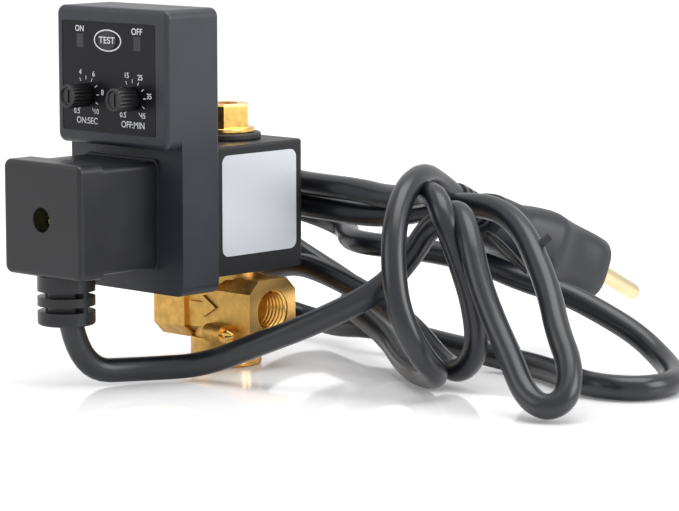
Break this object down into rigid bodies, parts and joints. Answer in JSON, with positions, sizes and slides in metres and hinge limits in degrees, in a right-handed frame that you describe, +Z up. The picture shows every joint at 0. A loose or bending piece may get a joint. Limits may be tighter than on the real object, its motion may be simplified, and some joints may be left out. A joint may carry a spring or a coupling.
{
  "type": "automatic drain valve",
  "caption": "Automatic condensate drain valve: brass two-port body, sealed solenoid, plug-in timer with two dials, square connector and a moulded mains lead with plug.",
  "frame": {"origin": "on the floor, at the centre of the body's round foot, under the armature's axis", "axes": "+Z up along the armature, +X out of the outlet port, -Y towards the connector's front"},
  "size_m": [0.16, 0.1657, 0.099],
  "materials": {
    "cast_brass": "sand cast, grainy, faces machined bright",
    "bright_brass": "turned bright",
    "steel": "drawn",
    "screw_steel": "yellow zinc plated",
    "copper": "enamelled copper",
    "contact_brass": "tinned",
    "pin_brass": "turned, bright",
    "clip_steel": "plated spring strip",
    "rubber": "matt",
    "charcoal_plastic": "fine satin moulding",
    "coil_plastic": "fine grained moulding",
    "white_plastic": "plain",
    "silver_label": "satin film",
    "panel_film": "satin printed film",
    "knob_plastic": "plain",
    "lamp_plastic": "smoked lens",
    "circuit_laminate": "lacquered",
    "relay_plastic": "plain",
    "cord_pvc": "satin PVC",
    "plug_pvc": "satin PVC"
  },
  "bodies": {
    "valve": {"valve_body": "cast_brass", "bleed_screw": "bright_brass", "armature_tube": "steel", "body_seal": "rubber", "fixed_core": "steel", "shading_ring": "copper", "plunger_spring": "steel", "coil_housing": "coil_plastic", "yoke_plate": "steel", "coil_bobbin": "white_plastic", "copper_winding": "copper", "coil_terminals": "contact_brass", "rubber_washer": "rubber", "hex_nut": "bright_brass", "coil_label": "silver_label", "coil_gasket": "rubber", "timer_rear_shell": "charcoal_plastic", "timer_front_shell": "charcoal_plastic", "panel_overlay": "panel_film", "circuit_board": "circuit_laminate", "relay": "relay_plastic", "on_time_potentiometer": "relay_plastic", "off_time_potentiometer": "relay_plastic", "test_switch": "relay_plastic", "on_lamp": "lamp_plastic", "off_lamp": "lamp_plastic", "timer_sockets": "contact_brass", "timer_blades": "contact_brass", "connector_housing": "charcoal_plastic", "terminal_block": "coil_plastic", "connector_gasket": "rubber", "fixing_screw": "screw_steel", "strain_relief": "charcoal_plastic", "cord_lead": "cord_pvc", "cord_hank": "cord_pvc", "cord_hank_rear": "cord_pvc", "plug_strain_relief": "cord_pvc", "plug_body": "plug_pvc", "plug_pins": "pin_brass", "plug_earth_clips": "clip_steel"},
    "plunger_body": {"plunger": "steel", "plunger_seal": "rubber"},
    "on_knob_body": {"on_time_knob": "knob_plastic"},
    "off_knob_body": {"off_time_knob": "knob_plastic"},
    "button_body": {"test_button": "knob_plastic"}
  },
  "joints": [
    {"name": "plunger_lift", "type": "slide", "parent": "valve", "child": "plunger_body", "axis": [0, 0, 1], "range_m": [0, 0.0018], "stiffness_N_per_m": 250, "springref_m": -0.003, "deforming": ["plunger_spring"]},
    {"name": "on_time_turn", "type": "hinge", "parent": "valve", "child": "on_knob_body", "pos_m": [-0.0099, -0.0445, 0.0756], "axis": [0, -1, 0], "range_deg": [-150, 150]},
    {"name": "off_time_turn", "type": "hinge", "parent": "valve", "child": "off_knob_body", "pos_m": [0.0081, -0.0445, 0.0756], "axis": [0, -1, 0], "range_deg": [-150, 150]},
    {"name": "test_press", "type": "slide", "parent": "valve", "child": "button_body", "axis": [0, 1, 0], "range_m": [0, 0.0008], "stiffness_N_per_m": 400, "springref_m": -0.0005}
  ]
}
